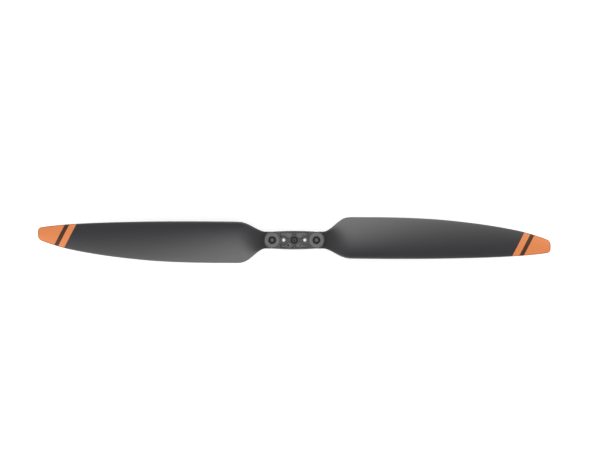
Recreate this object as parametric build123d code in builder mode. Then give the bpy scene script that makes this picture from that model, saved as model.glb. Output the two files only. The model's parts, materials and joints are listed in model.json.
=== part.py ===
from build123d import *
import os
from math import atan, pi, radians, sqrt, tan

# Two-blade folding propeller for a multirotor. The origin is the centre of the hub's
# mounting face, +Z is the rotor axis and points away from the motor, and +X runs along
# the right blade when both blades are open. All lengths are in millimetres.

os.makedirs("parts", exist_ok=True)

# ---------------------------------------------------------------- driving dimensions
DIAMETER = 533.4  # tip to tip with the blades open, 21 inches
TIP_X = DIAMETER / 2
PIVOT_X = 23.0  # rotor axis to each blade's pivot

# Hub, from the mounting face upwards
BOTTOM_PLATE = 3.6
WASHER = 0.4  # friction washers above and below each blade eye
FACE_GAP = 0.05  # running gap between a washer and the blade eye
EYE = 5.6  # thickness of the blade eye
TOP_PLATE = 4.0
BOSS_HEIGHT = 0.6  # round bosses that stand above the top plate at the pivots

PLATE_HALF_WIDTH = 9.7  # at the rotor axis
PLATE_END_RADIUS = 8.8  # round ends, about the pivots
PLATE_CHAMFER = 0.8
BOSS_RADIUS = 7.6

# Motor interface
MOUNT_HOLE_X = 11.0  # rotor axis to each of the two screw holes
MOUNT_HOLE_RADIUS = 1.6  # M3 clearance
SHAFT_BORE_RADIUS = 3.0  # locating bore for the motor's centre boss
SHAFT_BORE_DEPTH = 8.0

# Pivot: an M4 low-head screw clamps a sleeve between the plates, and the blade's bush
# turns on the sleeve
SCREW_RADIUS = 2.0
SCREW_HOLE_RADIUS = 2.15
HEAD_RADIUS = 3.5
HEAD_HEIGHT = 2.8
HEX_SOCKET = 2.5  # across flats
HEX_SOCKET_DEPTH = 1.7
COUNTERBORE_RADIUS = 4.1
COUNTERBORE_FLOOR = 1.3  # plate left under the screw head's washer
HEAD_WASHER = 0.5
HEAD_WASHER_RADIUS = 3.95
NUT_FLATS = 7.0
NUT_HEIGHT = 2.2
NUT_POCKET_DEPTH = 2.3
NUT_POCKET_GAP = 0.1
SLEEVE_RADIUS = 3.0
SLEEVE_BORE_RADIUS = 2.1
BUSH_RADIUS = 4.2
BUSH_BORE_RADIUS = 3.05  # 0.05 running clearance round the sleeve
FRICTION_WASHER_RADIUS = 7.8

# Blade
EYE_RADIUS = 9.0
NECK_HALF_WIDTH = 9.0
NECK_END_X = 32.2  # the flat neck stops here and the aerofoil swells out of it
PITCH = 254.0  # advance per turn, 10 inches
TWIST_OFFSET = 75.0  # eases the twist towards the root
TWIST_START_X = 31.5
TWIST_END_X = 62.0
TRAIL_TWIST_SHIFT = 10.0  # the trailing edge reaches its full twist this much earlier
CAMBER = 0.04  # of the chord
EDGE_THICKNESS = 0.6  # trailing edge

# ---------------------------------------------------------------- heights worked out
LOWER_WASHER_Z = BOTTOM_PLATE
EYE_Z = LOWER_WASHER_Z + WASHER + FACE_GAP
UPPER_WASHER_Z = EYE_Z + EYE + FACE_GAP
TOP_PLATE_Z = UPPER_WASHER_Z + WASHER
TOP_Z = TOP_PLATE_Z + TOP_PLATE
BOSS_TOP_Z = TOP_Z + BOSS_HEIGHT
HEAD_WASHER_Z = TOP_PLATE_Z + COUNTERBORE_FLOOR
HEAD_Z = HEAD_WASHER_Z + HEAD_WASHER
BLADE_AXIS_Z = EYE_Z + EYE / 2

SIDES = {"right": PIVOT_X, "left": -PIVOT_X}
PIVOTS = [(x, 0) for x in SIDES.values()]
MOUNT_HOLES = [(MOUNT_HOLE_X, 0), (-MOUNT_HOLE_X, 0)]


def finish(block, name):
    """Label a finished piece and write it to its own file."""
    block.part.label = name
    export_step(block.part, f"parts/{name}.step")


# ---------------------------------------------------------------- hub plates
# Both plates share one outline: round ends about the pivots, joined by sides that
# bulge gently to the middle.
with BuildSketch() as plate_outline:
    with BuildLine():
        far_side = ThreePointArc(
            (-PIVOT_X, PLATE_END_RADIUS), (0, PLATE_HALF_WIDTH), (PIVOT_X, PLATE_END_RADIUS)
        )
        right_end = ThreePointArc(
            (PIVOT_X, PLATE_END_RADIUS),
            (PIVOT_X + PLATE_END_RADIUS, 0),
            (PIVOT_X, -PLATE_END_RADIUS),
        )
        mirror(far_side, about=Plane.XZ)
        mirror(right_end, about=Plane.YZ)
    make_face()

# Pockets lighten the moulded plates. A rim, a cross rib, a ring about the rotor axis and
# bosses round the screw holes are left standing, and on the near side a straight web
# runs from the ring to the pivot end of the pocket.
POCKET_END_X = 14.6
POCKET_HALF_WIDTH = 8.1
CROSS_RIB = 2.1
CENTRE_RING_RADIUS = 4.4
HOLE_BOSS_RADIUS = 4.2
WEB_HALF_WIDTH = 1.4
WEB_Y = 4.5
WEB_KNEE_X = 9.2
WEB_INNER_X = 5.2

with BuildSketch() as pockets:
    Rectangle(2 * POCKET_END_X, 2 * POCKET_HALF_WIDTH)
    Rectangle(CROSS_RIB, 2 * POCKET_HALF_WIDTH, mode=Mode.SUBTRACT)
    Rectangle(2 * POCKET_END_X, 2 * WEB_HALF_WIDTH, mode=Mode.SUBTRACT)
    Circle(CENTRE_RING_RADIUS, mode=Mode.SUBTRACT)
    with Locations(*MOUNT_HOLES):
        Circle(HOLE_BOSS_RADIUS, mode=Mode.SUBTRACT)
    for side in (1, -1):
        with BuildLine():
            Polyline(
                (side * WEB_INNER_X, 0),
                (side * WEB_INNER_X, -WEB_HALF_WIDTH),
                (side * WEB_KNEE_X, -WEB_Y),
                (side * POCKET_END_X, -WEB_Y),
                (side * POCKET_END_X, 0),
                close=True,
            )
        make_face(mode=Mode.SUBTRACT)

# The pockets' walls are drafted so that the plates leave the mould. On the top plate a
# groove runs round the centre of the ring, with the sunk gate of the moulding inside it,
# and a round and a triangular mark are sunk in the floors of the two near pockets.
POCKET_DRAFT = 16  # degrees
TOP_POCKET_DEPTH = 1.6
CENTRE_GROOVE_OUTER = 3.6
CENTRE_GROOVE_INNER = 2.2
CENTRE_GROOVE_DEPTH = 1.6
CENTRE_GATE_RADIUS = 0.95
CENTRE_GATE_DEPTH = 1.8
MARK_DEPTH = 0.8
ROUND_MARK = (-6.35, -5.5)
ROUND_MARK_RADIUS = 1.0
TRIANGLE_MARK = (6.0, -5.3)
TRIANGLE_MARK_RADIUS = 1.0
LOCATING_SLEEVE_RADIUS = 2.1
LOCATING_SLEEVE_INSET = 2.4  # how far each end of the sleeve enters a plate

with BuildPart() as hub_top_plate:
    with BuildSketch(Plane.XY.offset(TOP_PLATE_Z)):
        add(plate_outline.sketch)
    extrude(amount=TOP_PLATE)
    chamfer(hub_top_plate.faces().sort_by(Axis.Z)[-1].edges(), PLATE_CHAMFER)
    with BuildSketch(Plane.XY.offset(TOP_Z)):
        with Locations(*PIVOTS):
            Circle(BOSS_RADIUS)
    extrude(amount=BOSS_HEIGHT)
    chamfer(hub_top_plate.faces().group_by(Axis.Z)[-1].edges(), BOSS_HEIGHT / 2)
    with BuildSketch(Plane.XY.offset(TOP_Z)):
        add(pockets.sketch)
    extrude(amount=-TOP_POCKET_DEPTH, mode=Mode.SUBTRACT)
    top_walls = hub_top_plate.faces(Select.LAST).filter_by(Axis.Z, reverse=True)
    draft(top_walls, Plane.XY.offset(TOP_Z), POCKET_DRAFT)
    with BuildSketch(Plane.XY.offset(TOP_Z - TOP_POCKET_DEPTH)):
        with Locations(ROUND_MARK):
            Circle(ROUND_MARK_RADIUS)
        with Locations(TRIANGLE_MARK):
            RegularPolygon(TRIANGLE_MARK_RADIUS, 3, rotation=90)
    extrude(amount=-MARK_DEPTH, mode=Mode.SUBTRACT)
    with BuildSketch(Plane.XY.offset(TOP_Z)):
        Circle(CENTRE_GROOVE_OUTER)
        Circle(CENTRE_GROOVE_INNER, mode=Mode.SUBTRACT)
    extrude(amount=-CENTRE_GROOVE_DEPTH, mode=Mode.SUBTRACT)
    with BuildSketch(Plane.XY.offset(TOP_Z)):
        Circle(CENTRE_GATE_RADIUS)
    extrude(amount=-CENTRE_GATE_DEPTH, mode=Mode.SUBTRACT)
    with Locations(Plane.XY.offset(BOSS_TOP_Z)):
        with Locations(*PIVOTS):
            CounterBoreHole(
                SCREW_HOLE_RADIUS,
                COUNTERBORE_RADIUS,
                TOP_PLATE + BOSS_HEIGHT - COUNTERBORE_FLOOR,
                TOP_PLATE + BOSS_HEIGHT,
            )
    with Locations(Plane.XY.offset(TOP_Z)):
        with Locations(*MOUNT_HOLES):
            Hole(MOUNT_HOLE_RADIUS, TOP_PLATE)
    with BuildSketch(Plane.XY.offset(TOP_PLATE_Z)):
        with Locations(*MOUNT_HOLES):
            Circle(LOCATING_SLEEVE_RADIUS)
    extrude(amount=LOCATING_SLEEVE_INSET, mode=Mode.SUBTRACT)
finish(hub_top_plate, "hub_top_plate")

BOTTOM_POCKET_DEPTH = 1.4

with BuildPart() as hub_bottom_plate:
    with BuildSketch():
        add(plate_outline.sketch)
    extrude(amount=BOTTOM_PLATE)
    chamfer(hub_bottom_plate.faces().sort_by(Axis.Z)[0].edges(), PLATE_CHAMFER)
    with BuildSketch():
        add(pockets.sketch)
    extrude(amount=BOTTOM_POCKET_DEPTH, mode=Mode.SUBTRACT)
    bottom_walls = hub_bottom_plate.faces(Select.LAST).filter_by(Axis.Z, reverse=True)
    draft(bottom_walls, Plane.XY, -POCKET_DRAFT)
    with BuildSketch():
        with Locations(*PIVOTS):
            RegularPolygon((NUT_FLATS + NUT_POCKET_GAP) / 2, 6, major_radius=False)
    extrude(amount=NUT_POCKET_DEPTH, mode=Mode.SUBTRACT)
    with Locations(Plane.XY.offset(BOTTOM_PLATE)):
        with Locations(*PIVOTS):
            Hole(SCREW_HOLE_RADIUS, BOTTOM_PLATE)
        with Locations(*MOUNT_HOLES):
            Hole(MOUNT_HOLE_RADIUS, BOTTOM_PLATE)
        Hole(SHAFT_BORE_RADIUS, BOTTOM_PLATE)
    with BuildSketch(Plane.XY.offset(BOTTOM_PLATE - LOCATING_SLEEVE_INSET)):
        with Locations(*MOUNT_HOLES):
            Circle(LOCATING_SLEEVE_RADIUS)
    extrude(amount=LOCATING_SLEEVE_INSET, mode=Mode.SUBTRACT)
finish(hub_bottom_plate, "hub_bottom_plate")

# ---------------------------------------------------------------- hub spacer
# A machined block between the plates. It stops short of the blade eyes, and the motor's
# centre boss enters it from below.
SPACER_LENGTH = 27.0
SPACER_WIDTH = 17.6
SPACER_CORNER = 2.0

with BuildPart() as hub_spacer:
    with BuildSketch(Plane.XY.offset(BOTTOM_PLATE)):
        RectangleRounded(SPACER_LENGTH, SPACER_WIDTH, SPACER_CORNER)
        with Locations(*MOUNT_HOLES):
            Circle(LOCATING_SLEEVE_RADIUS, mode=Mode.SUBTRACT)
    extrude(amount=TOP_PLATE_Z - BOTTOM_PLATE)
    with BuildSketch(Plane.XY.offset(BOTTOM_PLATE)):
        Circle(SHAFT_BORE_RADIUS)
    extrude(amount=SHAFT_BORE_DEPTH - BOTTOM_PLATE, mode=Mode.SUBTRACT)
finish(hub_spacer, "hub_spacer")

# ---------------------------------------------------------------- blades
ROOT_THICKNESS = 7.5
TIP_THICKNESS = 1.2
ROOT_X = 50.0  # the thickness falls away from here to the tip
THICKNESS_POWER = 1.2

# Where each section stands, how far its leading and trailing edges lie from the blade's
# axis in plan, and its thickness where it isn't the tapering aerofoil's own.
SECTIONS = [
    (29.0, 8.6, 8.6, 5.2),
    (33.0, 9.5, 9.7, 5.5),
    (36.5, 10.8, 11.5, 6.4),
    (41.0, 13.1, 15.1, 7.3),
    (46.0, 15.9, 19.4, 7.6),
    (51.0, 18.0, 22.5, 7.5),
    (57.0, 19.2, 24.0, None),
    (66.0, 19.4, 24.0, None),
    (90.0, 19.7, 24.0, None),
    (120.0, 19.7, 23.2, None),
    (150.0, 19.5, 21.7, None),
    (175.0, 19.0, 19.0, None),
    (200.0, 18.3, 15.9, None),
    (222.0, 17.35, 12.1, None),
    (240.0, 16.2, 8.4, None),
    (252.0, 15.0, 4.6, None),
    (260.0, 14.05, 2.0, None),
    (264.2, 13.1, 0.2, None),
    (266.0, 11.8, -1.5, None),
    (TIP_X, 9.6, -3.6, None),
]
CHORD_STEPS = [0.04, 0.14, 0.3, 0.5, 0.7, 0.88]


def ease(value, start, end):
    """0 before start, 1 after end, and a smooth S between them."""
    t = min(max((value - start) / (end - start), 0), 1)
    return t * t * (3 - 2 * t)


def twist(x, u):
    """Blade angle in radians, u of the chord back: constant pitch outboard, eased out to
    flat at the neck."""
    full = atan(PITCH / (2 * pi * sqrt(x**2 + TWIST_OFFSET**2)))
    return full * ease(x, TWIST_START_X, TWIST_END_X - TRAIL_TWIST_SHIFT * u**3)


def aerofoil_half(u):
    """Half thickness of a four-digit aerofoil of thickness 1, u of the chord back."""
    return 5 * (0.2969 * sqrt(u) - 0.126 * u - 0.3516 * u**2 + 0.2843 * u**3 - 0.1015 * u**4)


def slab_half(u):
    """Half thickness of a flat slab of thickness 1 with rounded edges."""
    return 0.5 * (1 - abs(2 * u - 1) ** 6) ** (1 / 6)


def edge_points(x, lead, trail, thick):
    """Upper and lower points of a section, from its leading to its trailing edge."""
    chord = lead + trail
    wing = ease(x, 33, 62)
    upper, lower = [], []
    for u in [*CHORD_STEPS, 1]:
        y = u * chord - lead
        middle = BLADE_AXIS_Z - y * tan(twist(x, u)) + wing * CAMBER * chord * 4 * u * (1 - u)
        wing_half = thick * aerofoil_half(u) + u * EDGE_THICKNESS / 2
        slab = thick * slab_half(min(u, 0.985))
        half = wing * wing_half + (1 - wing) * slab
        upper.append((y, middle + half))
        lower.append((y, middle - half))
    return upper, lower


with BuildPart() as blade_right:
    for x, lead, trail, root_thickness in SECTIONS:
        taper = max(TIP_X - x, 0) / (TIP_X - ROOT_X)
        thickness = TIP_THICKNESS + (ROOT_THICKNESS - TIP_THICKNESS) * taper**THICKNESS_POWER
        upper_points, lower_points = edge_points(x, lead, trail, root_thickness or thickness)
        nose = (-lead, BLADE_AXIS_Z + lead * tan(twist(x, 0)))
        with BuildSketch(Plane.YZ.offset(x)):
            with BuildLine():
                Spline(nose, *upper_points)
                Line(upper_points[-1], lower_points[-1])
                Spline(nose, *lower_points)
            make_face()
    loft()
    with BuildSketch(Plane.XY.offset(EYE_Z)):
        with Locations((PIVOT_X, 0)):
            Circle(EYE_RADIUS)
        with Locations(((PIVOT_X + NECK_END_X) / 2, 0)):
            Rectangle(NECK_END_X - PIVOT_X, 2 * NECK_HALF_WIDTH)
    extrude(amount=EYE)
    with BuildSketch(Plane.XY.offset(EYE_Z)):
        with Locations((PIVOT_X, 0)):
            Circle(BUSH_RADIUS)
    extrude(amount=EYE, mode=Mode.SUBTRACT)
finish(blade_right, "blade_right")

# The left blade is the same moulding turned half a turn about the rotor axis.
with BuildPart() as blade_left:
    add(blade_right.part.rotate(Axis.Z, 180))
finish(blade_left, "blade_left")

# ---------------------------------------------------------------- pivots
SCREW_TIP_Z = 0.3
SCREW_TIP_CHAMFER = 0.4
NUT_BORE_CLEARANCE = 0.02


def ring(name, centre, outer, inner, bottom, height):
    """A flat or tall ring about a vertical axis, such as a washer, sleeve or bush."""
    with BuildPart() as piece:
        with BuildSketch(Plane.XY.offset(bottom)):
            with Locations((centre, 0)):
                Circle(outer)
                Circle(inner, mode=Mode.SUBTRACT)
        extrude(amount=height)
    finish(piece, name)


def pivot_screw(name, centre):
    """Low-head socket screw, with its head in the top plate's counterbore."""
    with BuildPart() as piece:
        with BuildSketch(Plane.XY.offset(SCREW_TIP_Z)):
            with Locations((centre, 0)):
                Circle(SCREW_RADIUS)
        extrude(amount=HEAD_Z - SCREW_TIP_Z)
        chamfer(piece.faces().sort_by(Axis.Z)[0].edges(), SCREW_TIP_CHAMFER)
        with BuildSketch(Plane.XY.offset(HEAD_Z)):
            with Locations((centre, 0)):
                Circle(HEAD_RADIUS)
        extrude(amount=HEAD_HEIGHT)
        chamfer(piece.faces().sort_by(Axis.Z)[-1].edges(), 0.3)
        with BuildSketch(Plane.XY.offset(HEAD_Z + HEAD_HEIGHT)):
            with Locations((centre, 0)):
                RegularPolygon(HEX_SOCKET / 2, 6, major_radius=False)
        extrude(amount=-HEX_SOCKET_DEPTH, mode=Mode.SUBTRACT)
    finish(piece, name)


def pivot_nut(name, centre):
    """Thin lock nut in the bottom plate's hexagonal pocket."""
    with BuildPart() as piece:
        with BuildSketch(Plane.XY.offset(NUT_POCKET_DEPTH - NUT_HEIGHT)):
            with Locations((centre, 0)):
                RegularPolygon(NUT_FLATS / 2, 6, major_radius=False)
                Circle(SCREW_RADIUS + NUT_BORE_CLEARANCE, mode=Mode.SUBTRACT)
        extrude(amount=NUT_HEIGHT)
    finish(piece, name)


for side, centre in SIDES.items():
    ring(
        f"pivot_sleeve_{side}",
        centre,
        SLEEVE_RADIUS,
        SLEEVE_BORE_RADIUS,
        BOTTOM_PLATE,
        TOP_PLATE_Z - BOTTOM_PLATE,
    )
    ring(f"pivot_bush_{side}", centre, BUSH_RADIUS, BUSH_BORE_RADIUS, EYE_Z, EYE)
    for level, bottom in (("lower", LOWER_WASHER_Z), ("upper", UPPER_WASHER_Z)):
        ring(
            f"friction_washer_{level}_{side}",
            centre,
            FRICTION_WASHER_RADIUS,
            SLEEVE_RADIUS + 0.1,
            bottom,
            WASHER,
        )
    ring(
        f"head_washer_{side}",
        centre,
        HEAD_WASHER_RADIUS,
        SCREW_HOLE_RADIUS,
        HEAD_WASHER_Z,
        HEAD_WASHER,
    )
    pivot_screw(f"pivot_screw_{side}", centre)
    pivot_nut(f"pivot_nut_{side}", centre)

# Steel sleeves line the motor screw holes. They line the plates up on the spacer and
# carry the motor screws' clamping load.
for side, (centre, _) in zip(SIDES, MOUNT_HOLES):
    ring(
        f"locating_sleeve_{side}",
        centre,
        LOCATING_SLEEVE_RADIUS,
        MOUNT_HOLE_RADIUS,
        BOTTOM_PLATE - LOCATING_SLEEVE_INSET,
        TOP_PLATE_Z - BOTTOM_PLATE + 2 * LOCATING_SLEEVE_INSET,
    )
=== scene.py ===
import json
from math import atan, cos, pi, radians, sin, sqrt, tan

import bmesh
import bpy
from mathutils import Matrix, Vector


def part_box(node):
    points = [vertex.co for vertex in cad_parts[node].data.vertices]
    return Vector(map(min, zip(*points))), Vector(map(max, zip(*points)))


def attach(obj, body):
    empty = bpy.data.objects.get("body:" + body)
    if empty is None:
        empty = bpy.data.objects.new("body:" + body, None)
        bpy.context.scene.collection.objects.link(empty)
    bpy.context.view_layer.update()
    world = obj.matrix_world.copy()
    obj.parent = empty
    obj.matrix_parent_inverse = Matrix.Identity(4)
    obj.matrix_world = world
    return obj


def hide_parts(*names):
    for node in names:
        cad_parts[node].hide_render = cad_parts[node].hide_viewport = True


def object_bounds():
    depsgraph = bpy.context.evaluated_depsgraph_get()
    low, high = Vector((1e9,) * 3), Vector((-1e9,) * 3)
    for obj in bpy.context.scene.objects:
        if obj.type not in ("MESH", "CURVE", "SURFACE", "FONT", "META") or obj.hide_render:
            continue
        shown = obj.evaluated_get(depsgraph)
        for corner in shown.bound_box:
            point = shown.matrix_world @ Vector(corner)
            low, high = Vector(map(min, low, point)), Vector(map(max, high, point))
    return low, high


# A two-blade folding propeller, as it is put together: the clamped hub from the motor
# face upwards, then the pivots, then the blades. Lengths are metres, written as
# millimetres times mm.
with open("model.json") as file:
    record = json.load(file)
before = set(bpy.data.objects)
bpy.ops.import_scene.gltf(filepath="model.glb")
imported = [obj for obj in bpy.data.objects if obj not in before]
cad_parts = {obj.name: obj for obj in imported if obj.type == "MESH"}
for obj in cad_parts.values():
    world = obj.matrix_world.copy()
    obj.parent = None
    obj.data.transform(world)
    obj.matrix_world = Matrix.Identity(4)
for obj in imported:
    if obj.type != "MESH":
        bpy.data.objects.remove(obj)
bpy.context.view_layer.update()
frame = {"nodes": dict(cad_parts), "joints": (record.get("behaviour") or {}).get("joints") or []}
bpy.ops.object.select_all(action="DESELECT")
mm = 0.001

# ------------------------------------------------------------------ hub bottom plate
# The plate that sits on the motor. It is injection moulded in glass-filled nylon, with
# pockets underneath to save weight, and the pivot nuts drop into its two hexagons.


def srgb(hex_colour):
    """A hex colour as the linear colour that a shader takes."""
    channels = [int(hex_colour[i : i + 2], 16) / 255 for i in (1, 3, 5)]
    linear = [c / 12.92 if c <= 0.04045 else ((c + 0.055) / 1.055) ** 2.4 for c in channels]
    return (*linear, 1)


def add_node(material, kind, settings=None, links=None):
    """Add a node, set its properties or input values, and link its inputs from others."""
    made = material.node_tree.nodes.new(kind)
    for key, value in (settings or {}).items():
        if isinstance(key, str) and hasattr(made, key):
            setattr(made, key, value)
        else:
            made.inputs[key].default_value = value
    for key, source in (links or {}).items():
        material.node_tree.links.new(source, made.inputs[key])
    return made


def new_material(name, settings):
    """A material with one Principled shader that has these plain values."""
    made = bpy.data.materials.new(name)
    made.use_nodes = True
    made.node_tree.nodes.clear()
    shader = add_node(made, "ShaderNodeBsdfPrincipled", settings)
    out = add_node(made, "ShaderNodeOutputMaterial", links={"Surface": shader.outputs[0]})
    out.is_active_output = True
    return made, shader


def softened_copy(node, width, name, segments=2):
    """A merged copy of a CAD node with its sharp edges rounded, which stands for it."""
    piece = bpy.data.objects.new(name, frame["nodes"][node].data.copy())
    bpy.context.scene.collection.objects.link(piece)
    piece.data.materials.clear()
    bpy.ops.object.select_all(action="DESELECT")
    piece.select_set(True)
    bpy.context.view_layer.objects.active = piece
    bpy.ops.mesh.customdata_custom_splitnormals_clear()
    bpy.ops.object.mode_set(mode="EDIT")
    bpy.ops.mesh.select_all(action="SELECT")
    bpy.ops.mesh.remove_doubles(threshold=0.002 * mm)
    bpy.ops.mesh.dissolve_limited(angle_limit=radians(0.3))
    bpy.ops.object.mode_set(mode="OBJECT")
    bpy.ops.object.modifier_add(type="BEVEL")
    bevel = piece.modifiers[-1]
    bevel.width, bevel.segments = width, segments
    bevel.limit_method, bevel.angle_limit = "ANGLE", radians(30)
    bevel.use_clamp_overlap = False
    bpy.ops.object.modifier_apply(modifier=bevel.name)
    bpy.ops.object.shade_smooth_by_angle(angle=radians(35))
    bpy.ops.object.modifier_add(type="WEIGHTED_NORMAL")
    piece.modifiers[-1].keep_sharp = True
    bpy.ops.object.modifier_apply(modifier=piece.modifiers[-1].name)
    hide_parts(node)
    return piece


# Glass-filled nylon: charcoal and matt, with short paler fibres showing at the skin. It
# comes in four copies: eroded all over; a coarser grain, painted paler as painted light, on
# the floors of the pockets; polished and painted near black as painted shade on their
# drafted walls; and painted paler as painted highlight on the tops of the bosses. The fibres
# are drawn 1 mm long and 0.1 mm wide, some three times their real size, so that they show.
nylon_finishes_and_light = {}
for look, dark, pale, rough, grain_depth in (
    ("eroded", "#4c4c4c", "#575757", (0.55, 0.7), 0.02 * mm),
    ("coarse, painted light", "#838383", "#919190", (0.6, 0.75), 0.03 * mm),
    ("polished, painted shade", "#232324", "#29292a", (0.3, 0.42), 0.005 * mm),
    ("painted highlight", "#696969", "#757575", (0.5, 0.62), 0.015 * mm),
):
    nylon, shader = new_material(f"glass-filled nylon, {look}", {"IOR": 1.53})
    place = add_node(nylon, "ShaderNodeTexCoord")
    cloud = add_node(
        nylon,
        "ShaderNodeTexNoise",
        {"Scale": 260.0, "Detail": 5.0, "Roughness": 0.7},
        {"Vector": place.outputs["Object"]},
    )
    fibre_sum = cloud.outputs["Fac"]
    for turn in (12, 75, 138):
        fibre_place = add_node(
            nylon,
            "ShaderNodeMapping",
            {"Rotation": (0.0, 0.0, radians(turn)), "Scale": (1.0, 10.0, 10.0)},
            {"Vector": place.outputs["Object"]},
        )
        fibre = add_node(
            nylon,
            "ShaderNodeTexNoise",
            {"Scale": 1000.0, "Detail": 1.0},
            {"Vector": fibre_place.outputs[0]},
        )
        lit = add_node(
            nylon,
            "ShaderNodeMapRange",
            {"From Min": 0.62, "From Max": 0.8},
            {"Value": fibre.outputs["Fac"]},
        )
        fibre_sum = add_node(
            nylon, "ShaderNodeMath", {"operation": "ADD"}, {0: fibre_sum, 1: lit.outputs[0]}
        ).outputs[0]
    tone = add_node(nylon, "ShaderNodeValToRGB", links={"Fac": fibre_sum})
    tone.color_ramp.elements[0].position = 0.35
    tone.color_ramp.elements[0].color = srgb(dark)
    tone.color_ramp.elements[1].position = 0.85
    tone.color_ramp.elements[1].color = srgb(pale)
    grain = add_node(
        nylon,
        "ShaderNodeTexNoise",
        {"Scale": 3500.0, "Detail": 3.0, "Roughness": 0.65},
        {"Vector": place.outputs["Object"]},
    )
    gloss = add_node(
        nylon,
        "ShaderNodeMapRange",
        {"To Min": rough[0], "To Max": rough[1]},
        {"Value": cloud.outputs["Fac"]},
    )
    bump = add_node(
        nylon,
        "ShaderNodeBump",
        {"Strength": 1.0, "Distance": grain_depth},
        {"Height": grain.outputs["Fac"]},
    )
    for socket, source in (
        ("Base Color", tone.outputs[0]),
        ("Roughness", gloss.outputs[0]),
        ("Normal", bump.outputs[0]),
    ):
        nylon.node_tree.links.new(source, shader.inputs[socket])
    nylon_finishes_and_light[look] = nylon

ERODED, LIT_COARSE_FLOOR, PAINTED_SHADE, LIT_BOSS_TOP = range(4)
POCKET_END_X = 14.6 * mm
POCKET_REACH_Y = 8.25 * mm
LEVEL = 0.85  # a face whose normal stands up more than this is a flat one


def in_pockets(face):
    """Whether a face of a plate lies within the block of pockets, seen from above."""
    return abs(face.center.x) < POCKET_END_X and abs(face.center.y) < POCKET_REACH_Y


def shade_pocket_walls(plate):
    """Give a plate its nylon copies: the pockets' walls painted near black as painted shade, the
    rest eroded.
    """
    for nylon in nylon_finishes_and_light.values():
        plate.data.materials.append(nylon)
    for face in plate.data.polygons:
        is_wall = in_pockets(face) and abs(face.normal.z) < LEVEL
        face.material_index = PAINTED_SHADE if is_wall else ERODED


BOTTOM_EDGE_ROUND = 0.12 * mm

bottom_plate = softened_copy("hub_bottom_plate", BOTTOM_EDGE_ROUND, "bottom_plate_moulding")
# The walls of its pockets are painted near black, as painted shade.
shade_pocket_walls(bottom_plate)
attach(bottom_plate, "hub")

# ------------------------------------------------------------------ hub spacer
# A block sawn from aluminium bar, milled and black anodised, that keeps the plates apart
# between the blade eyes. Its sides show in the slot of the hub.

# Black anodising on milled aluminium: blue black and satin, with the cutter's fine lines
# along the block.
anodised, shader = new_material(
    "black anodised aluminium, milled",
    {"Metallic": 1.0, "Base Color": srgb("#2b2c2f")},
)
place = add_node(anodised, "ShaderNodeTexCoord")
cutter_place = add_node(
    anodised,
    "ShaderNodeMapping",
    {"Scale": (1.0, 1.0, 14.0)},
    {"Vector": place.outputs["Object"]},
)
cutter = add_node(
    anodised,
    "ShaderNodeTexNoise",
    {"Scale": 300.0, "Detail": 3.0},
    {"Vector": cutter_place.outputs[0]},
)
gloss = add_node(
    anodised,
    "ShaderNodeMapRange",
    {"To Min": 0.3, "To Max": 0.48},
    {"Value": cutter.outputs["Fac"]},
)
bump = add_node(
    anodised,
    "ShaderNodeBump",
    {"Strength": 0.2, "Distance": 0.02 * mm},
    {"Height": cutter.outputs["Fac"]},
)
anodised.node_tree.links.new(gloss.outputs[0], shader.inputs["Roughness"])
anodised.node_tree.links.new(bump.outputs[0], shader.inputs["Normal"])

SPACER_EDGE_ROUND = 0.2 * mm

spacer = softened_copy("hub_spacer", SPACER_EDGE_ROUND, "spacer_block")
spacer.data.materials.append(anodised)
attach(spacer, "hub")

# ------------------------------------------------------------------ sleeves and washers
# Turned steel sleeves, zinc plated, and the plain washers under the screw heads. The
# friction washers are punched from sheet acetal, the bushes are sintered bronze.

# Zinc plate: a soft grey metal with a broken shine.
zinc, shader = new_material(
    "zinc-plated steel", {"Metallic": 1.0, "Base Color": srgb("#989a9c")}
)
place = add_node(zinc, "ShaderNodeTexCoord")
turned = add_node(
    zinc,
    "ShaderNodeTexNoise",
    {"Scale": 1200.0, "Detail": 3.0},
    {"Vector": place.outputs["Object"]},
)
gloss = add_node(
    zinc, "ShaderNodeMapRange", {"To Min": 0.22, "To Max": 0.42}, {"Value": turned.outputs["Fac"]}
)
zinc.node_tree.links.new(gloss.outputs[0], shader.inputs["Roughness"])

# Sintered bronze: brown gold, dulled by its fine pores.
bronze, shader = new_material(
    "sintered bronze", {"Metallic": 1.0, "Base Color": srgb("#a87f4d")}
)
place = add_node(bronze, "ShaderNodeTexCoord")
pores = add_node(
    bronze,
    "ShaderNodeTexNoise",
    {"Scale": 4000.0, "Detail": 2.0},
    {"Vector": place.outputs["Object"]},
)
gloss = add_node(
    bronze, "ShaderNodeMapRange", {"To Min": 0.35, "To Max": 0.6}, {"Value": pores.outputs["Fac"]}
)
bronze.node_tree.links.new(gloss.outputs[0], shader.inputs["Roughness"])

# Acetal: an off-white plastic with a faint cloudiness.
acetal, shader = new_material("acetal sheet, punched", {"IOR": 1.48})
place = add_node(acetal, "ShaderNodeTexCoord")
cloud = add_node(
    acetal, "ShaderNodeTexNoise", {"Scale": 700.0}, {"Vector": place.outputs["Object"]}
)
tone = add_node(acetal, "ShaderNodeValToRGB", links={"Fac": cloud.outputs["Fac"]})
tone.color_ramp.elements[0].color = srgb("#c9c6bd")
tone.color_ramp.elements[1].color = srgb("#dcdad2")
acetal.node_tree.links.new(tone.outputs[0], shader.inputs["Base Color"])

for side in ("right", "left"):
    for node, material in (
        (f"pivot_sleeve_{side}", zinc),
        (f"locating_sleeve_{side}", zinc),
        (f"head_washer_{side}", zinc),
        (f"friction_washer_lower_{side}", acetal),
        (f"friction_washer_upper_{side}", acetal),
        (f"pivot_bush_{side}", bronze),
    ):
        frame["nodes"][node].data.materials.clear()
        frame["nodes"][node].data.materials.append(material)

# ------------------------------------------------------------------ hub top plate
# The ribbed upper moulding of the clamp, in the same nylon. A round boss stands about
# each pivot screw, and the pockets leave ribs round the motor screw holes.

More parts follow.
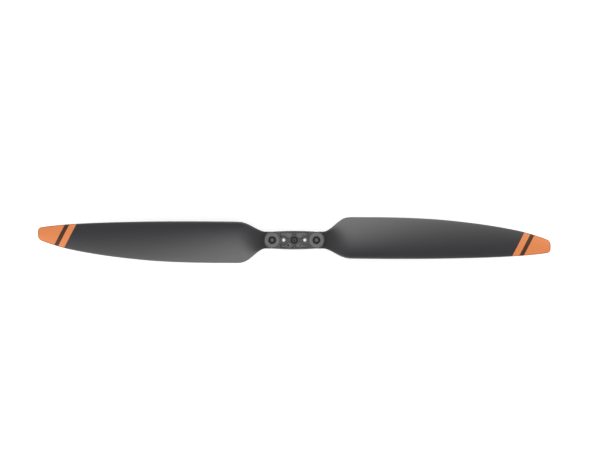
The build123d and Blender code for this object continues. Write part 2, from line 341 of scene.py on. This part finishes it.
TOP_EDGE_ROUND = 0.15 * mm
BOSS_HEIGHT = 0.6 * mm
BOSS_RIM = 0.24 * mm
PLATE_RIM = 0.3 * mm
TOP_POCKET_DEPTH = 1.6 * mm
NEAR_FLOOR = 0.1 * mm
CENTRE_GROOVE_RADIUS = 3.7 * mm
END_CHAMFER_X = 20 * mm
CHAMFER_LEAN = 0.3

top_plate = softened_copy("hub_top_plate", TOP_EDGE_ROUND, "top_plate_moulding")
# The walls of its pockets are painted near black, as painted shade.
shade_pocket_walls(top_plate)
boss_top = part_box("hub_top_plate")[1].z
# Painted light on the top plate: the boss tops are painted paler as painted highlight, the pocket
# floors paler as painted light, and the centre groove, the recessed marks and the end chamfers
# near black as painted shade.
for face in top_plate.data.polygons:
    below_boss = boss_top - face.center.z
    below_floor = below_boss - BOSS_HEIGHT - TOP_POCKET_DEPTH
    is_sunk = below_boss > BOSS_HEIGHT + PLATE_RIM
    if below_boss < BOSS_RIM:
        face.material_index = LIT_BOSS_TOP
    elif face.normal.z > LEVEL and in_pockets(face) and is_sunk:
        in_groove = face.center.xy.length < CENTRE_GROOVE_RADIUS
        in_mark = below_floor > NEAR_FLOOR
        face.material_index = PAINTED_SHADE if in_groove or in_mark else LIT_COARSE_FLOOR
    elif CHAMFER_LEAN < face.normal.z < LEVEL and abs(face.center.x) > END_CHAMFER_X:
        face.material_index = PAINTED_SHADE
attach(top_plate, "hub")

# ------------------------------------------------------------------ pivot screws and nuts
# Low-head socket screws, forged and black-oxide coated, sunk in the counterbores. The
# thin lock nuts are cold formed and zinc plated, and sit in hexagons in the bottom plate.

# Black-oxide steel is near black. The head's top is painted drab grey as painted highlight,
# and the socket's floor pale as painted reflection. A fine speckle breaks up the gloss.
steels = {}
for look, colour, rough in (
    ("black oxide", "#1d1d1e", (0.3, 0.5)),
    ("black oxide, painted highlight", "#696968", (0.38, 0.55)),
    ("bare steel, painted reflection", "#dededb", (0.45, 0.7)),
):
    steel, shader = new_material(
        f"steel, {look}", {"Metallic": 1.0, "Base Color": srgb(colour)}
    )
    place = add_node(steel, "ShaderNodeTexCoord")
    speckle = add_node(
        steel,
        "ShaderNodeTexNoise",
        {"Scale": 2200.0, "Detail": 3.0},
        {"Vector": place.outputs["Object"]},
    )
    gloss = add_node(
        steel,
        "ShaderNodeMapRange",
        {"To Min": rough[0], "To Max": rough[1]},
        {"Value": speckle.outputs["Fac"]},
    )
    steel.node_tree.links.new(gloss.outputs[0], shader.inputs["Roughness"])
    steels[look] = steel

BLACK, GREY, PAINTED_GLINT = range(3)
HEAD_RADIUS = 3.5 * mm
HEAD_EDGE_ROUND = 0.08 * mm
HEAD_TOP_RADIUS = 2.6 * mm
HEAD_TOP_INSET = 0.55 * mm
HEAD_TOP_EDGE = 2.7 * mm
HEAD_SLOPE = 0.15 * mm
HEAD_SLOPE_START = 2.8 * mm
HEAD_SLOPE_REACH = 0.35 * mm
SOCKET_REACH = 1.48 * mm
SOCKET_MIDDLE = 1.0 * mm
UNDER_SOCKET = 1.8 * mm
NUT_EDGE_ROUND = 0.06 * mm
NUT_CORNER_CUT = 0.5 * mm
NUT_TRIM_RADIUS = 4.05 * mm

for side in ("right", "left"):
    low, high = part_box(f"pivot_screw_{side}")
    centre = (low + high) / 2
    screw = softened_copy(f"pivot_screw_{side}", HEAD_EDGE_ROUND, f"screw_{side}")
    # The head's flat top is narrower than its side: the top faces are inset, and the
    # edge outside them drops into a slope.
    bpy.ops.object.mode_set(mode="EDIT")
    bpy.ops.mesh.select_all(action="DESELECT")
    head = bmesh.from_edit_mesh(screw.data)
    for face in head.faces:
        below_top = high.z - face.calc_center_median().z
        face.select_set(face.normal.z > 0.99 and below_top < 0.01 * mm)
    bmesh.update_edit_mesh(screw.data)
    bpy.ops.mesh.inset(thickness=HEAD_TOP_INSET)
    head = bmesh.from_edit_mesh(screw.data)
    for vert in head.verts:
        from_axis = (vert.co.xy - centre.xy).length
        if from_axis > HEAD_SLOPE_START and high.z - vert.co.z < HEAD_SLOPE_REACH:
            outward = (from_axis - HEAD_TOP_RADIUS) / (HEAD_RADIUS - HEAD_TOP_RADIUS)
            vert.co.z -= HEAD_SLOPE * outward
    bmesh.update_edit_mesh(screw.data)
    bpy.ops.object.mode_set(mode="OBJECT")
    for steel in steels.values():
        screw.data.materials.append(steel)
    # The head's top is painted grey as painted highlight and the socket's floor pale as painted
    # reflection; the rest stays black.
    for face in screw.data.polygons:
        from_axis = (face.center.xy - centre.xy).length
        below_top = high.z - face.center.z
        in_socket = from_axis < SOCKET_REACH and below_top > SOCKET_MIDDLE
        if below_top > UNDER_SOCKET or from_axis > HEAD_TOP_EDGE:
            face.material_index = BLACK
        else:
            face.material_index = PAINTED_GLINT if in_socket and face.normal.z > 0.9 else GREY
    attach(screw, "hub")

    # The nut's corners are turned off: it keeps what lies inside a disc with bevelled rims.
    nut = softened_copy(f"pivot_nut_{side}", NUT_EDGE_ROUND, f"nut_{side}", 1)
    low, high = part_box(f"pivot_nut_{side}")
    centre = (low + high) / 2
    bpy.ops.object.select_all(action="DESELECT")
    bpy.ops.mesh.primitive_cylinder_add(
        vertices=96, radius=NUT_TRIM_RADIUS, depth=high.z - low.z, location=centre
    )
    trim = bpy.context.object
    bpy.ops.object.transform_apply(location=True, rotation=True, scale=True)
    bpy.ops.object.modifier_add(type="BEVEL")
    trim.modifiers[-1].width, trim.modifiers[-1].segments = NUT_CORNER_CUT, 1
    bpy.ops.object.modifier_apply(modifier=trim.modifiers[-1].name)
    bpy.ops.object.select_all(action="DESELECT")
    nut.select_set(True)
    bpy.context.view_layer.objects.active = nut
    bpy.ops.object.modifier_add(type="BOOLEAN")
    turned = nut.modifiers[-1]
    turned.operation, turned.object, turned.solver = "INTERSECT", trim, "EXACT"
    bpy.ops.object.modifier_apply(modifier=turned.name)
    bpy.data.objects.remove(trim)
    bpy.ops.object.shade_smooth_by_angle(angle=radians(25))
    nut.data.materials.clear()
    nut.data.materials.append(zinc)
    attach(nut, "hub")

# ------------------------------------------------------------------ blades
# Each blade is one injection moulding in carbon-fibre-filled nylon. A flat eye turns
# about the pivot, the neck swells out of it, and from there a cambered aerofoil loses
# chord, thickness and twist towards a squared-off tip.

# Carbon-fibre-filled nylon from a polished tool: near black, satin, with faint flow lines
# of fibre along the blade.
carbon_nylon, shader = new_material(
    "carbon-fibre-filled nylon", {"IOR": 1.53, "Specular IOR Level": 0.8}
)
place = add_node(carbon_nylon, "ShaderNodeTexCoord")
flow_place = add_node(
    carbon_nylon,
    "ShaderNodeMapping",
    {"Scale": (0.12, 1.0, 1.0)},
    {"Vector": place.outputs["Object"]},
)
flow = add_node(
    carbon_nylon,
    "ShaderNodeTexNoise",
    {"Scale": 800.0, "Detail": 4.0, "Roughness": 0.6},
    {"Vector": flow_place.outputs[0]},
)
tone = add_node(carbon_nylon, "ShaderNodeValToRGB", links={"Fac": flow.outputs["Fac"]})
tone.color_ramp.elements[0].position = 0.3
tone.color_ramp.elements[0].color = srgb("#1e1d21")
tone.color_ramp.elements[1].position = 0.75
tone.color_ramp.elements[1].color = srgb("#252327")
gloss = add_node(
    carbon_nylon,
    "ShaderNodeMapRange",
    {"To Min": 0.4, "To Max": 0.5},
    {"Value": flow.outputs["Fac"]},
)
bump = add_node(
    carbon_nylon,
    "ShaderNodeBump",
    {"Strength": 0.15, "Distance": 0.05 * mm},
    {"Height": flow.outputs["Fac"]},
)
for socket, source in (
    ("Base Color", tone.outputs[0]),
    ("Roughness", gloss.outputs[0]),
    ("Normal", bump.outputs[0]),
):
    carbon_nylon.node_tree.links.new(source, shader.inputs[socket])

# Two-part polyurethane paint, sprayed through a mask: warm orange, satin, with a little
# orange peel. Near the edges of the outline it is darkened to brown as painted shade.
orange_paint, shader = new_material("sprayed polyurethane paint, orange", {"IOR": 1.5})
place = add_node(orange_paint, "ShaderNodeTexCoord")
peel = add_node(
    orange_paint,
    "ShaderNodeTexNoise",
    {"Scale": 700.0, "Detail": 2.0},
    {"Vector": place.outputs["Object"]},
)
tone = add_node(orange_paint, "ShaderNodeValToRGB", links={"Fac": peel.outputs["Fac"]})
tone.color_ramp.elements[0].position = 0.3
tone.color_ramp.elements[0].color = srgb("#ea8b51")
tone.color_ramp.elements[1].position = 0.7
tone.color_ramp.elements[1].color = srgb("#f09157")
rim = add_node(orange_paint, "ShaderNodeAttribute", {"attribute_name": "painted_edge_shade"})
coat = add_node(
    orange_paint,
    "ShaderNodeMixRGB",
    {"Color2": srgb("#7d4a31")},
    {"Fac": rim.outputs["Fac"], "Color1": tone.outputs[0]},
)
gloss = add_node(
    orange_paint,
    "ShaderNodeMapRange",
    {"To Min": 0.38, "To Max": 0.5},
    {"Value": peel.outputs["Fac"]},
)
bump = add_node(
    orange_paint,
    "ShaderNodeBump",
    {"Strength": 0.12, "Distance": 0.04 * mm},
    {"Height": peel.outputs["Fac"]},
)
for socket, source in (
    ("Base Color", coat.outputs[0]),
    ("Roughness", gloss.outputs[0]),
    ("Normal", bump.outputs[0]),
):
    orange_paint.node_tree.links.new(source, shader.inputs[socket])

# The dark band is the same paint in a brown black.
black_paint, shader = new_material("sprayed polyurethane paint, brown black", {"IOR": 1.5})
place = add_node(black_paint, "ShaderNodeTexCoord")
peel = add_node(
    black_paint,
    "ShaderNodeTexNoise",
    {"Scale": 700.0, "Detail": 2.0},
    {"Vector": place.outputs["Object"]},
)
tone = add_node(black_paint, "ShaderNodeValToRGB", links={"Fac": peel.outputs["Fac"]})
tone.color_ramp.elements[0].position = 0.3
tone.color_ramp.elements[0].color = srgb("#45281c")
tone.color_ramp.elements[1].position = 0.7
tone.color_ramp.elements[1].color = srgb("#4d2e20")
gloss = add_node(
    black_paint,
    "ShaderNodeMapRange",
    {"To Min": 0.4, "To Max": 0.52},
    {"Value": peel.outputs["Fac"]},
)
black_paint.node_tree.links.new(tone.outputs[0], shader.inputs["Base Color"])
black_paint.node_tree.links.new(gloss.outputs[0], shader.inputs["Roughness"])

# The tip bands are cut square to a slant across the blade: where each paint starts,
# measured along the blade's axis.
BAND_SLANT = radians(28)
BAND_EDGES = (235.4 * mm, 242.5 * mm, 247.2 * mm)

PIVOT_X = frame["joints"][0]["pos_m"][0]
AXIS_Z = frame["joints"][0]["pos_m"][2]
TIP_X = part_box("blade_right")[1].x
eye_low, eye_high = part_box("pivot_bush_right")
EYE_THICKNESS = eye_high.z - eye_low.z
EYE_RADIUS = PIVOT_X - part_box("blade_right")[0].x
NECK_END_X = 32.2 * mm
SWELL_END_X = 44 * mm
WING_START_X = 33 * mm
TWIST_START_X = 31.5 * mm
TWIST_END_X = 62 * mm
TRAIL_TWIST_SHIFT = 10 * mm
ROOT_X = 50 * mm
ROOT_THICKNESS = 7.5 * mm
TIP_THICKNESS = 1.2 * mm
THICKNESS_POWER = 1.2
EDGE_THICKNESS = 0.6 * mm
PITCH = 254 * mm
TWIST_OFFSET = 75 * mm
CAMBER = 0.04
SECTION_POINTS = 44

# How far the leading and trailing edges lie from the blade's axis, seen from above.
OUTLINE = [
    (33.6, 9.6, 9.8),
    (36.5, 10.8, 11.5),
    (40.0, 12.5, 14.1),
    (44.0, 14.8, 17.7),
    (48.0, 16.85, 20.8),
    (52.0, 18.4, 23.1),
    (56.5, 19.25, 24.1),
    (62.0, 19.4, 24.1),
    (72.0, 19.5, 24.05),
    (90.0, 19.7, 24.0),
    (110.0, 19.75, 23.6),
    (130.0, 19.7, 22.9),
    (150.0, 19.55, 21.7),
    (170.0, 19.15, 19.7),
    (190.0, 18.65, 17.35),
    (208.0, 18.05, 14.7),
    (224.0, 17.25, 11.8),
    (238.0, 16.35, 9.0),
    (249.0, 15.35, 5.7),
    (257.5, 14.4, 2.9),
    (262.5, 13.75, 1.1),
    (265.0, 13.0, -0.3),
    (266.3, 11.6, -1.9),
    (266.8, 9.8, -3.6),
]


def ease(value, start, end):
    """0 before start, 1 after end, and a smooth S between them."""
    t = min(max((value - start) / (end - start), 0), 1)
    return t * t * (3 - 2 * t)


def blade_angle(x, u):
    """The twist at x, u of the chord back: constant pitch, eased out at the neck."""
    full = atan(PITCH / (2 * pi * sqrt(x**2 + TWIST_OFFSET**2)))
    return full * ease(x, TWIST_START_X, TWIST_END_X - TRAIL_TWIST_SHIFT * u**3)


def blade_thickness(x):
    """The slab of the eye, a swelling over the neck, then a taper to the tip."""
    taper = min((TIP_X - x) / (TIP_X - ROOT_X), 1)
    wing = TIP_THICKNESS + (ROOT_THICKNESS - TIP_THICKNESS) * max(taper, 0) ** THICKNESS_POWER
    return EYE_THICKNESS + (wing - EYE_THICKNESS) * ease(x, NECK_END_X, SWELL_END_X)


def section_place(x, lead, trail, turn):
    """One point of the closed section at x. turn goes from 0 at the leading edge, over
    the top to 0.5 at the trailing edge, and back underneath to 1."""
    u = (1 - cos(2 * pi * turn)) / 2
    wing = ease(x, WING_START_X, TWIST_END_X)
    aerofoil = 5 * (0.2969 * sqrt(u) - 0.126 * u - 0.3516 * u**2 + 0.2843 * u**3 - 0.1036 * u**4)
    edge = EDGE_THICKNESS / 2 * u * sqrt(max(1 - u**40, 0))
    slab = 0.5 * max(1 - abs(2 * u - 1) ** 10, 0) ** 0.1
    thick = blade_thickness(x)
    half = wing * (thick * aerofoil + edge) + (1 - wing) * thick * slab
    chord = lead + trail
    y = u * chord - lead
    middle = AXIS_Z - y * tan(blade_angle(x, u)) + wing * CAMBER * chord * 4 * u * (1 - u)
    return Vector((x, y, middle + (half if turn < 0.5 else -half)))


# The blade starts as a circle of points at the eye's inner end, and is extruded from
# station to station. It's then smoothed, bored, and cut along the edges of the paint.
eye_loops = []
for turn in (4, 7, 14, 24, 36, 50, 66, 90):
    half_width = EYE_RADIUS * sin(radians(turn))
    eye_loops.append((PIVOT_X - EYE_RADIUS * cos(radians(turn)), half_width, half_width))
for x in (26.0, 29.0, 31.5):
    eye_loops.append((x * mm, EYE_RADIUS, EYE_RADIUS))
outline_loops = [(x * mm, lead * mm, trail * mm) for x, lead, trail in OUTLINE]

bpy.ops.object.select_all(action="DESELECT")
bpy.ops.mesh.primitive_circle_add(
    vertices=SECTION_POINTS, radius=EYE_RADIUS, rotation=(0, radians(90), 0)
)
blade = bpy.context.object
blade.name = "blade_moulding_right"
bpy.ops.object.transform_apply(location=True, rotation=True, scale=True)
bpy.ops.object.mode_set(mode="EDIT")
shape = bmesh.from_edit_mesh(blade.data)
for number, (x, lead, trail) in enumerate(eye_loops + outline_loops):
    if number:
        bpy.ops.mesh.extrude_region_move(TRANSFORM_OT_translate={"value": (mm, 0, 0)})
        shape = bmesh.from_edit_mesh(blade.data)
    shape.verts.ensure_lookup_table()
    ring = shape.verts[-SECTION_POINTS:]
    for step, vert in enumerate(ring):
        vert.co = section_place(x, lead, trail, step / SECTION_POINTS)
bmesh.update_edit_mesh(blade.data)
bpy.ops.mesh.select_all(action="DESELECT")
bpy.ops.mesh.select_non_manifold()
bpy.ops.mesh.edge_face_add()
bpy.ops.object.mode_set(mode="OBJECT")
bpy.ops.mesh.primitive_cylinder_add(
    vertices=64,
    radius=(eye_high.x - eye_low.x) / 2,
    depth=2 * EYE_THICKNESS,
    location=(PIVOT_X, 0, AXIS_Z),
)
reamer = bpy.context.object
for made in (blade, reamer):
    bpy.ops.object.select_all(action="DESELECT")
    made.select_set(True)
    bpy.context.view_layer.objects.active = made
    bpy.ops.object.transform_apply(location=True, rotation=True, scale=True)
bpy.ops.object.select_all(action="DESELECT")
blade.select_set(True)
bpy.context.view_layer.objects.active = blade
bpy.ops.object.modifier_add(type="SUBSURF")
smoother = blade.modifiers[-1]
smoother.levels = smoother.render_levels = 2
bpy.ops.object.modifier_apply(modifier=smoother.name)
bpy.ops.object.modifier_add(type="BOOLEAN")
bore = blade.modifiers[-1]
bore.operation, bore.object, bore.solver = "DIFFERENCE", reamer, "EXACT"
bpy.ops.object.modifier_apply(modifier=bore.name)
bpy.data.objects.remove(reamer)
bpy.ops.object.mode_set(mode="EDIT")
for x in BAND_EDGES:
    bpy.ops.mesh.select_all(action="SELECT")
    bpy.ops.mesh.bisect(
        plane_co=(x, 0, 0), plane_no=(cos(BAND_SLANT), -sin(BAND_SLANT), 0)
    )
bpy.ops.mesh.select_all(action="SELECT")
bpy.ops.mesh.normals_make_consistent(inside=False)
bpy.ops.object.mode_set(mode="OBJECT")
bpy.ops.object.shade_smooth_by_angle(angle=radians(50))
for material in (carbon_nylon, orange_paint, black_paint):
    blade.data.materials.append(material)
for face in blade.data.polygons:
    along = face.center.x - face.center.y * tan(BAND_SLANT)
    crossed = sum(along > x for x in BAND_EDGES)
    face.material_index = (0, 1, 2, 1)[crossed]

# How far painted shade darkens the paint at each point: most at the rim of the outline,
# none further in than RIM.
RIM = 1.5 * mm
RIM_SHADE_DEPTH = 0.9
painted_edge_shade = blade.data.attributes.new("painted_edge_shade", "FLOAT", "POINT")
for vert in blade.data.vertices:
    x, y = vert.co.x / mm, vert.co.y / mm
    inner, outer = OUTLINE[0], OUTLINE[1]
    for inner, outer in zip(OUTLINE, OUTLINE[1:]):
        if x < outer[0]:
            break
    share = min(max((x - inner[0]) / (outer[0] - inner[0]), 0), 1)
    lead = inner[1] + share * (outer[1] - inner[1])
    trail = inner[2] + share * (outer[2] - inner[2])
    from_rim = min(y + lead, trail - y, TIP_X / mm - x) * mm
    shaded = min(max(1 - from_rim / RIM, 0), 1)
    painted_edge_shade.data[vert.index].value = RIM_SHADE_DEPTH * shaded

# The left blade is the same moulding turned half a turn about the rotor axis.
left_blade = blade.copy()
left_blade.data = blade.data.copy()
left_blade.name = "blade_moulding_left"
left_blade.data.transform(Matrix.Rotation(pi, 4, "Z"))
bpy.context.scene.collection.objects.link(left_blade)
for side, piece in (("right", blade), ("left", left_blade)):
    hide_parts(f"blade_{side}")
    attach(piece, f"{side}_blade")

# ------------------------------------------------------------------ studio
# The propeller lies on a glowing white board in a white tent. The long walls of the tent
# shine and its roof is dim, so the blades go from grey to near black as they level out.
# The camera looks straight down from far off.

TABLE_GAP = 0.05 * mm
bpy.ops.mesh.primitive_circle_add(vertices=96, radius=8, fill_type="NGON")
table = bpy.context.object
table.name = "table"
table.data.transform(Matrix.Translation((0, 0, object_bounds()[0].z - TABLE_GAP)))
# White painted board, lit from below so that it stays white between the shadows.
white_board, shader = new_material(
    "white painted board",
    {
        "Base Color": srgb("#eaeaea"),
        "Roughness": 0.9,
        "Emission Color": (1, 1, 1, 1),
        "Emission Strength": 0.55,
    },
)
table.data.materials.append(white_board)

world = bpy.data.worlds.new("white tent")
bpy.context.scene.world = world
world.use_nodes = True
world.node_tree.nodes.clear()
direction = add_node(world, "ShaderNodeTexCoord")
axes = add_node(world, "ShaderNodeSeparateXYZ", links={0: direction.outputs["Generated"]})
across = add_node(
    world, "ShaderNodeMapRange", {"From Min": -1.0, "From Max": 1.0}, {"Value": axes.outputs["Y"]}
)
walls = add_node(world, "ShaderNodeValToRGB", links={"Fac": across.outputs[0]})
walls.color_ramp.interpolation = "EASE"
walls.color_ramp.elements[0].color = (0.93, 0.93, 0.93, 1)
walls.color_ramp.elements[1].color = (1, 1, 1, 1)
for position in (0.37, 0.7):
    walls.color_ramp.elements.new(position).color = (0.3, 0.3, 0.3, 1)
roof = add_node(world, "ShaderNodeValToRGB", links={"Fac": axes.outputs["Z"]})
roof.color_ramp.interpolation = "EASE"
roof.color_ramp.elements[0].position = 0.25
roof.color_ramp.elements[0].color = (1, 1, 1, 1)
roof.color_ramp.elements[1].position = 0.95
roof.color_ramp.elements[1].color = (0.25, 0.25, 0.25, 1)
tent = add_node(
    world,
    "ShaderNodeMixRGB",
    {"blend_type": "MULTIPLY", "Fac": 1.0},
    {"Color1": walls.outputs[0], "Color2": roof.outputs[0]},
)
glow = add_node(world, "ShaderNodeBackground", {"Strength": 3.3}, {"Color": tent.outputs[0]})
add_node(world, "ShaderNodeOutputWorld", links={"Surface": glow.outputs[0]})

CAMERA_HEIGHT = 3.0
CAMERA_SIDE = 5.95 * mm
CAMERA_UP = 15.7 * mm
FIELD_WIDTH = 624.6 * mm
camera_data = bpy.data.cameras.new("camera")
camera = bpy.data.objects.new("camera", camera_data)
bpy.context.scene.collection.objects.link(camera)
camera.location = (CAMERA_SIDE, CAMERA_UP, CAMERA_HEIGHT + AXIS_Z)
camera_data.sensor_width = 36.0
camera_data.lens = camera_data.sensor_width * CAMERA_HEIGHT / FIELD_WIDTH
camera_data.clip_start, camera_data.clip_end = 0.05, 100
bpy.context.scene.camera = camera
bpy.context.scene.view_settings.view_transform = "Standard"
